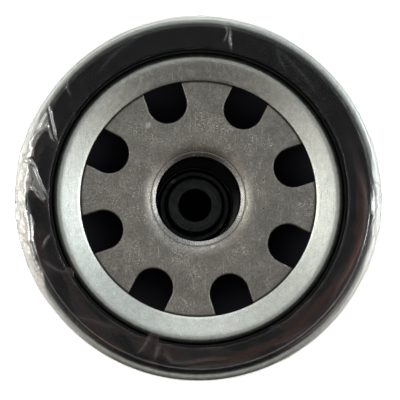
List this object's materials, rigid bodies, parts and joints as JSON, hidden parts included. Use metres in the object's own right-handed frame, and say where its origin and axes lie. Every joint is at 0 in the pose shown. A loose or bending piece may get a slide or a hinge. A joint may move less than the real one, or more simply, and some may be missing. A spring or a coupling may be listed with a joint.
{
  "type": "spin-on oil filter",
  "caption": "Spin-on oil filter for a small engine, gasket end up, with its element, valves and springs inside and clear shrink film outside.",
  "frame": {"origin": "centre of the closed end's flat, where the can's axis meets the surface it stands on", "axes": "+Z along the can's axis, from the closed end to the gasket; +X and +Y across the can"},
  "size_m": [0.076, 0.076, 0.086],
  "materials": {
    "black_paint": "gloss black enamel on drawn steel",
    "zinc": "galvanised, satin, with fine scratches",
    "steel": "bare pressed steel, oiled, warm grey",
    "nitrile": "satin black moulded nitrile rubber",
    "valve_rubber": "matte dark nitrile rubber",
    "sealant": "matte sealing compound",
    "tinplate": "tin-plated pressed steel",
    "tube_steel": "perforated steel with a thin oil film",
    "spring_steel": "oiled spring wire",
    "oiled_tinplate": "tin plate stained dark by oil",
    "black_nylon": "matte black glass-filled nylon",
    "plastisol": "cured red-brown plastisol adhesive",
    "filter_paper": "resin-impregnated pleated filter paper",
    "film": "clear wrinkled shrink film"
  },
  "bodies": {
    "housing": {"can_shell": "black_paint", "seaming_lid": "zinc", "seam_sealant": "sealant", "base_plate": "steel", "gasket": "nitrile", "support_spring": "spring_steel", "shrink_film": "film"},
    "drainback_valve": {"anti_drainback_valve": "valve_rubber"},
    "element": {"upper_end_cap": "tinplate", "lower_end_cap": "tinplate", "upper_potting": "plastisol", "lower_potting": "plastisol", "paper_media": "filter_paper", "pleat_clip": "tinplate", "centre_tube": "tube_steel", "bypass_seat": "oiled_tinplate", "bypass_cage": "oiled_tinplate", "bypass_spring": "spring_steel"},
    "bypass_disc": {"bypass_poppet": "black_nylon", "bypass_seal": "valve_rubber"}
  },
  "joints": [
    {"name": "drainback_lip", "type": "slide", "parent": "housing", "child": "drainback_valve", "axis": [0, 0, 1], "range_m": [-0.0015, 0], "stiffness_N_per_m": 200, "springref_m": 0.002, "deforming": ["anti_drainback_valve"]},
    {"name": "element_float", "type": "slide", "parent": "housing", "child": "element", "axis": [0, 0, 1], "range_m": [-0.002, 0], "stiffness_N_per_m": 12000, "springref_m": 0.004, "deforming": ["support_spring"]},
    {"name": "bypass_lift", "type": "slide", "parent": "element", "child": "bypass_disc", "axis": [0, 0, 1], "range_m": [0, 0.003], "stiffness_N_per_m": 1500, "springref_m": -0.0075, "deforming": ["bypass_spring"]}
  ]
}
